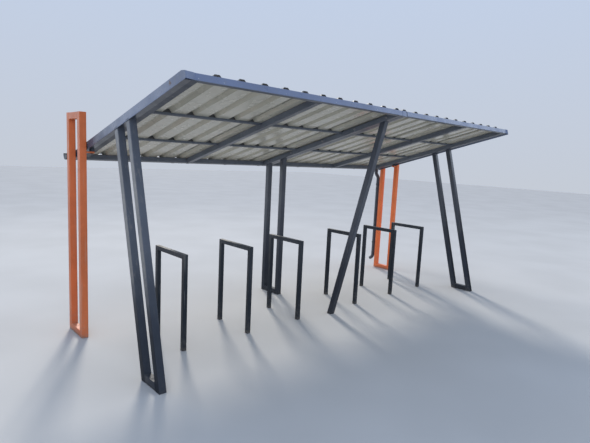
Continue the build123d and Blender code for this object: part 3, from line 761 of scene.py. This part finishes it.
# downpipe: outlet collar, swaged sockets, clamp lugs and their screws
sock = Shape()
NECK_Z = GUTTER_Z - 95.0
sock.turned((PIPE_X, GUTTER_Y, GUTTER_Z - 92), (0, 0, 1), [(27.2, 0.0), (29.0, 1.2), (29.0, 30.0), (29.6, 31.0), (29.6, 34.0), (29.0, 35.0), (27.4, 36.0)], 40)
for z in (1290.0, 215.0):
    sock.turned((PIPE_X, PIPE_Y, z), (0, 0, 1), [(27.1, 0.0), (28.6, 1.5), (28.6, 38.0), (29.2, 39.0), (29.2, 42.0), (28.4, 43.0), (27.1, 44.0)], 40)
sock.build("downpipe_sockets", MATS["downpipe_coat"], "downpipe_coat")
lug = Shape()
for z in (400.0, 1370.0):
    for dy in (-3.6, 1.2):
        a = [(PIPE_X - 29.0, PIPE_Y + dy, z + 4), (PIPE_X - 29.0, PIPE_Y + dy + 2.4, z + 4), (PIPE_X - 46.0, PIPE_Y + dy + 2.4, z + 5), (PIPE_X - 46.0, PIPE_Y + dy, z + 5)]
        lug.prism(a, [(x, y, 2 * z + 26 - zz) for x, y, zz in a])
    hex_bolt(lug, (PIPE_X - 38.0, PIPE_Y + 3.6, z + 13), (0, 1, 0), 8.0, 4.0, 6.0, 1.2)
    hex_bolt(lug, (PIPE_X - 38.0, PIPE_Y - 3.6, z + 13), (0, -1, 0), 8.0, 4.5, 6.0, 1.2, 0.4, 3.0)
lug.build("downpipe_clamp_lugs", MATS["downpipe_coat"], "downpipe_coat")

# ------------------------------------------------------------------ floor, light, camera
def grid_floor(size, z):
    me = bpy.data.meshes.new("studio_floor")
    bm = bmesh.new()
    bmesh.ops.create_grid(bm, x_segments=4, y_segments=4, size=size)
    bm.to_mesh(me)
    bm.free()
    o = bpy.data.objects.new("studio_floor", me)
    scene.collection.objects.link(o)
    o.location = (0, 0, z)
    return o


floor = grid_floor(40.0, -0.0015)
g = Graph("floor_pale")
floor_col = g.mix(g.ramp(g.noise(0.8, 2, 0.5), 0.3, 0.7), (0.455, 0.445, 0.43), (0.485, 0.475, 0.46))
floor.data.materials.append(g.set(color=floor_col, rough=0.9, spec=0.1))

world = bpy.data.worlds.new("studio")
scene.world = world
world.use_nodes = True
wn = world.node_tree
wn.nodes.clear()
wo = wn.nodes.new("ShaderNodeOutputWorld")
bg = wn.nodes.new("ShaderNodeBackground")
wn.links.new(bg.outputs[0], wo.inputs[0])
tc = wn.nodes.new("ShaderNodeTexCoord")
sep = wn.nodes.new("ShaderNodeSeparateXYZ")
wn.links.new(tc.outputs["Generated"], sep.inputs[0])
mr = wn.nodes.new("ShaderNodeMapRange")
wn.links.new(sep.outputs[2], mr.inputs[0])
mr.inputs[1].default_value = -0.05
mr.inputs[2].default_value = 0.7
cm = wn.nodes.new("ShaderNodeMix")
cm.data_type = "RGBA"
wn.links.new(mr.outputs[0], cm.inputs[0])
cm.inputs[6].default_value = (0.56, 0.60, 0.67, 1)
cm.inputs[7].default_value = (0.52, 0.66, 0.92, 1)
wn.links.new(cm.outputs[2], bg.inputs[0])
bg.inputs[1].default_value = 1.0


def area(name, loc, target, size, power, color=(1, 1, 1)):
    d = bpy.data.lights.new(name, "AREA")
    d.shape = "RECTANGLE"
    d.size, d.size_y = size
    d.energy = power
    d.color = color
    o = bpy.data.objects.new(name, d)
    scene.collection.objects.link(o)
    o.location = loc
    o.rotation_mode = "QUATERNION"
    o.rotation_quaternion = (Vector(target) - Vector(loc)).to_track_quat("-Z", "Y")
    o.visible_camera = False
    return o


key_dir = Vector((0.454 * math.cos(math.radians(34)), 0.891 * math.cos(math.radians(34)), math.sin(math.radians(34))))
sun = bpy.data.lights.new("key_soft", "SUN")
sun.energy = 2.5
sun.angle = math.radians(9)
sun.color = (1.0, 0.95, 0.87)
so = bpy.data.objects.new("key_soft", sun)
scene.collection.objects.link(so)
so.rotation_mode = "QUATERNION"
so.rotation_quaternion = key_dir.to_track_quat("Z", "Y")
area("fill_front", (-6.0, -8.0, 5.0), (0, 0, 1.0), (7.0, 5.0), 240, (0.86, 0.93, 1.0))
area("soft_right", (13.0, -6.5, 7.0), (0, 0, 1.2), (9.0, 4.5), 205, (0.80, 0.90, 1.0))
area("soft_left", (-7.6, 9.5, 2.6), (-2.4, -0.5, 1.2), (6.5, 4.6), 95, (0.88, 0.94, 1.0))

area("rim_back", (0.2, 5.4, 8.4), (0, -1.0, 2.2), (2.2, 3.6), 200, (1.0, 0.97, 0.92))

cam_data = bpy.data.cameras.new("view_camera")
cam = bpy.data.objects.new("view_camera", cam_data)
scene.collection.objects.link(cam)
scene.camera = cam
cam_data.sensor_fit = "HORIZONTAL"
cam_data.sensor_width = 36.0
cam_data.lens = 470.038 * 36.0 / 590.0
cam_data.clip_start, cam_data.clip_end = 0.05, 200.0
R3 = Vector((0.72842287, -0.68339489, 0.04869856))
U3 = Vector((0.05606646, 0.13029981, 0.98988813))
F2 = Vector((0.6828299, 0.71832679, -0.13322889))
rot = Matrix((R3, U3, -F2)).transposed()
cam.rotation_mode = "QUATERNION"
cam.rotation_quaternion = rot.to_quaternion()
cam.location = W(-1536.7, -2408.6, 1743.3)

scene.view_settings.view_transform = "Standard"
scene.view_settings.look = "None"
scene.view_settings.exposure = 0.0
